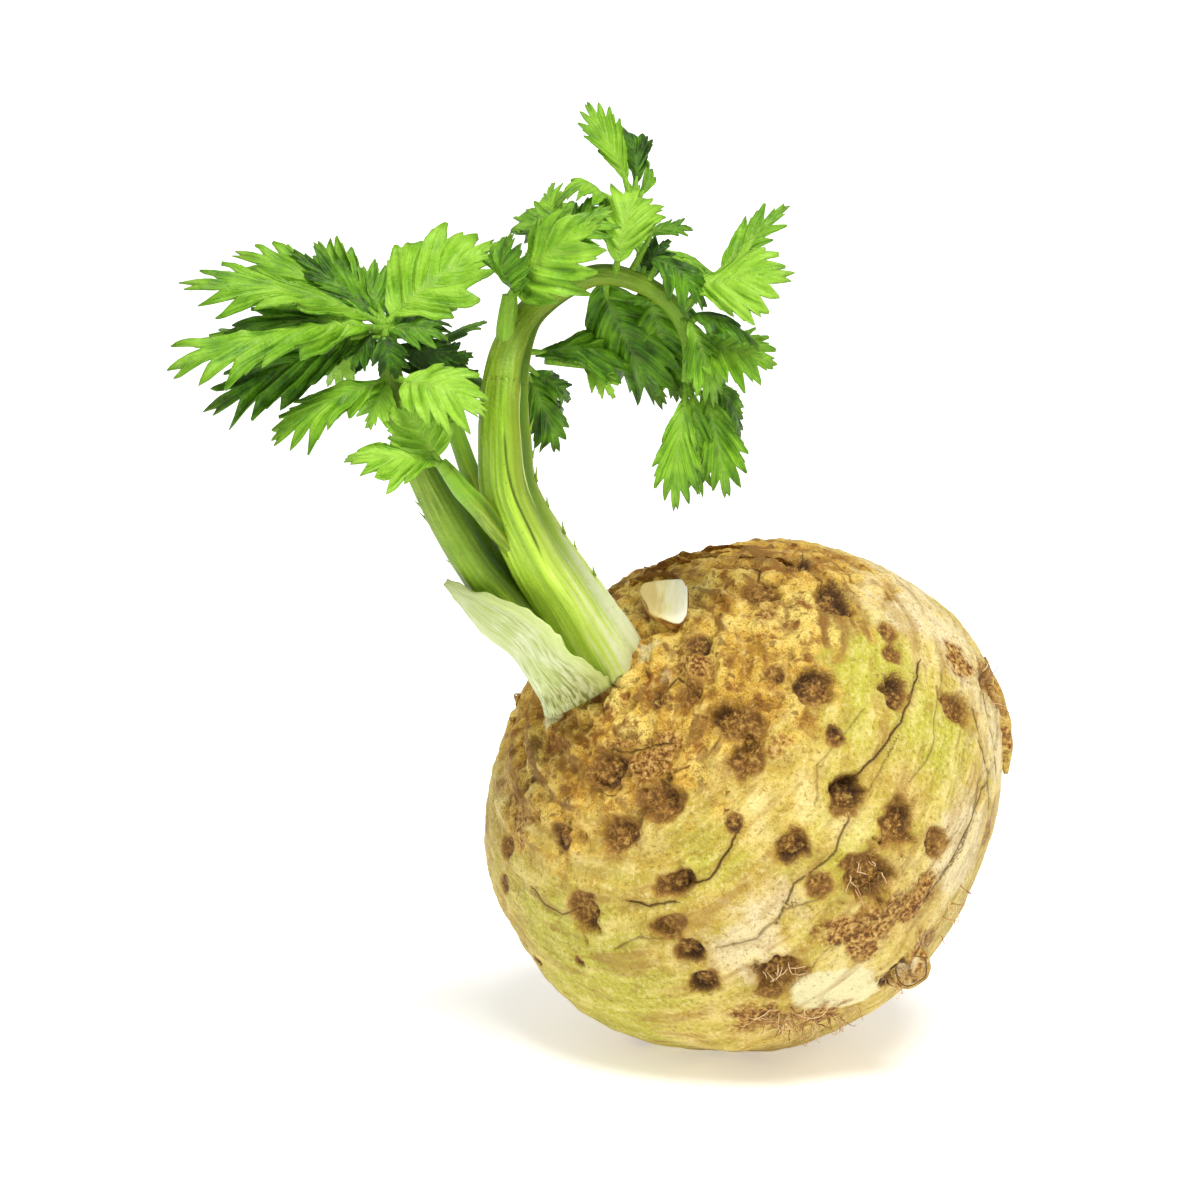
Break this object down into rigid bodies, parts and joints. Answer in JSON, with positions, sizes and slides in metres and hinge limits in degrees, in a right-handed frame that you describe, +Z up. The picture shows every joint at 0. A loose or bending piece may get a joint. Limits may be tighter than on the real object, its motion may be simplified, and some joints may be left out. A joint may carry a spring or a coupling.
{
  "type": "celeriac root with leaves",
  "caption": "Knobbly swollen celeriac root resting on its flat spot, with ribbed leaf stalks and cut green leaflets leaning from its crown.",
  "frame": {"origin": "middle of the flat spot on the underside that the root rests on", "axes": "+Z up from the surface it rests on; the crown and the leaf stalks lean towards -X and -Y; the trimmed roots point towards +X, +Y"},
  "size_m": [0.1861, 0.1372, 0.2184],
  "materials": {
    "root_skin": "rough, cream to brown celeriac skin with corky eyes",
    "stalk": "smooth, slightly waxy pale green stalk",
    "leaf": "thin, satin green leaf",
    "pale_tissue": "dull whitish plant tissue"
  },
  "bodies": {
    "root": {"bulb": "root_skin", "cut_leaf_base": "pale_tissue", "pale_sheath": "pale_tissue", "arched_stalk": "stalk", "arched_spray": "leaf", "left_stalk": "stalk", "left_spray": "leaf", "inner_stalk": "stalk", "inner_spray": "leaf", "young_stalk": "stalk", "young_spray": "leaf"}
  },
  "joints": []
}
